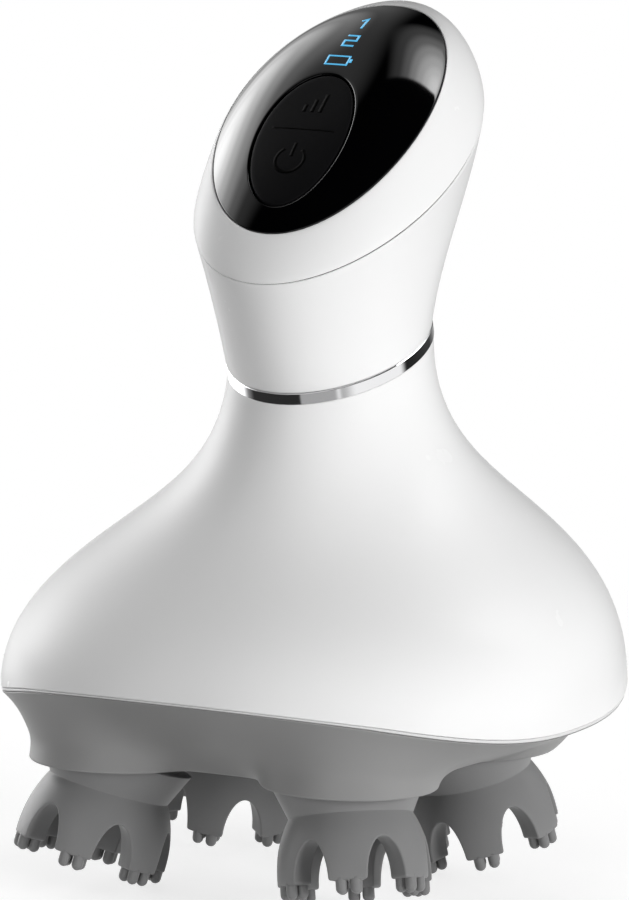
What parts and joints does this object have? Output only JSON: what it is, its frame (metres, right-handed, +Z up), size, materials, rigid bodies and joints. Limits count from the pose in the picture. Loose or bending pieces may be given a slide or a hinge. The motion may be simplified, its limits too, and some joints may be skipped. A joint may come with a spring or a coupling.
{
  "type": "scalp massager",
  "caption": "Handheld electric scalp massager: bell-shaped body, slanted thumb panel with a rocker button, and spinning silicone heads with legs and nubs.",
  "frame": {"origin": "on the surface that the massager stands on, under the middle of the bell", "axes": "+Z up, -Y towards the low front end of the thumb panel, +X to the right seen from the front"},
  "size_m": [0.0916, 0.0915, 0.1321],
  "materials": {
    "white_shell": "smooth moulded white, glossy",
    "chrome": "bright plated band",
    "panel_black": "piano-black gloss",
    "button_black": "fine matt black",
    "steel": "turned steel",
    "skirt_grey": "soft-touch grey",
    "seal_grey": "pale satin line",
    "inner_plastic": "moulded dark grey",
    "bronze": "sintered bronze",
    "silicone": "soft matt silicone",
    "gear_plastic": "natural acetal",
    "brass": "cut brass",
    "lead_red": "insulated wire",
    "lead_black": "insulated wire",
    "cell_wrap": "shrink-wrapped cell",
    "board_green": "solder mask",
    "lamp": "clear lamp body"
  },
  "bodies": {
    "body": {"body_shell": "white_shell", "neck_shell": "white_shell", "chrome_ring": "chrome", "upper_cap": "white_shell", "display_panel": "panel_black", "button_hinge_pin": "steel", "base_skirt": "skirt_grey", "rim_seal": "seal_grey", "base_plate": "inner_plastic", "gearbox_cover": "inner_plastic", "base_screws": "steel", "shell_screws": "steel", "motor_screws": "steel", "shaft_bushes": "bronze", "drive_pin": "steel", "reduction_pin": "steel", "motor": "steel", "motor_leads": "lead_red", "battery_cradle": "inner_plastic", "battery_cell": "cell_wrap", "battery_leads": "lead_black", "main_board": "board_green", "board_screws": "steel", "button_switches": "button_black", "display_lamps": "lamp", "light_guide": "button_black", "charging_socket": "steel"},
    "head_1": {"massage_head_1": "silicone", "head_shaft_1": "steel", "head_gear_1": "gear_plastic"},
    "head_2": {"massage_head_2": "silicone", "head_shaft_2": "steel", "head_gear_2": "gear_plastic"},
    "head_3": {"massage_head_3": "silicone", "head_shaft_3": "steel", "head_gear_3": "gear_plastic"},
    "head_4": {"massage_head_4": "silicone", "head_shaft_4": "steel", "head_gear_4": "gear_plastic"},
    "drive": {"drive_gear": "gear_plastic"},
    "reduction": {"reduction_gear": "gear_plastic"},
    "rotor": {"motor_shaft": "steel", "motor_pinion": "brass"},
    "rocker": {"rocker_button": "button_black"}
  },
  "joints": [
    {"name": "drive_spin", "type": "hinge", "parent": "body", "child": "drive", "pos_m": [0, -0.0071, 0.035], "axis": [0, 0, 1], "continuous": true},
    {"name": "head_spin_1", "type": "hinge", "parent": "body", "child": "head_1", "pos_m": [-0.01959, -0.02669, 0.0195], "axis": [0.1949, 0.1949, 0.9613], "continuous": true},
    {"name": "head_spin_2", "type": "hinge", "parent": "body", "child": "head_2", "pos_m": [0.01959, -0.02669, 0.0195], "axis": [-0.1949, 0.1949, 0.9613], "continuous": true},
    {"name": "head_spin_3", "type": "hinge", "parent": "body", "child": "head_3", "pos_m": [0.01959, 0.01249, 0.0195], "axis": [-0.1949, -0.1949, 0.9613], "continuous": true},
    {"name": "head_spin_4", "type": "hinge", "parent": "body", "child": "head_4", "pos_m": [-0.01959, 0.01249, 0.0195], "axis": [0.1949, -0.1949, 0.9613], "continuous": true},
    {"name": "reduction_spin", "type": "hinge", "parent": "body", "child": "reduction", "pos_m": [0.01669, -0.00517, 0.041], "axis": [0, 0, 1], "continuous": true},
    {"name": "motor_spin", "type": "hinge", "parent": "body", "child": "rotor", "pos_m": [0, 0.0001, 0.044], "axis": [0, 0, 1], "continuous": true},
    {"name": "button_rock", "type": "hinge", "parent": "body", "child": "rocker", "pos_m": [0, -0.00644, 0.11069], "axis": [1, 0, 0], "range_deg": [-2, 2], "stiffness_Nm_per_rad": 0.4}
  ],
  "couplings": [
    {"joint": "head_spin_1", "follows": "drive_spin", "ratio": -1},
    {"joint": "head_spin_2", "follows": "drive_spin", "ratio": -1},
    {"joint": "head_spin_3", "follows": "drive_spin", "ratio": -1},
    {"joint": "head_spin_4", "follows": "drive_spin", "ratio": -1},
    {"joint": "reduction_spin", "follows": "drive_spin", "ratio": -3},
    {"joint": "motor_spin", "follows": "drive_spin", "ratio": 12}
  ]
}
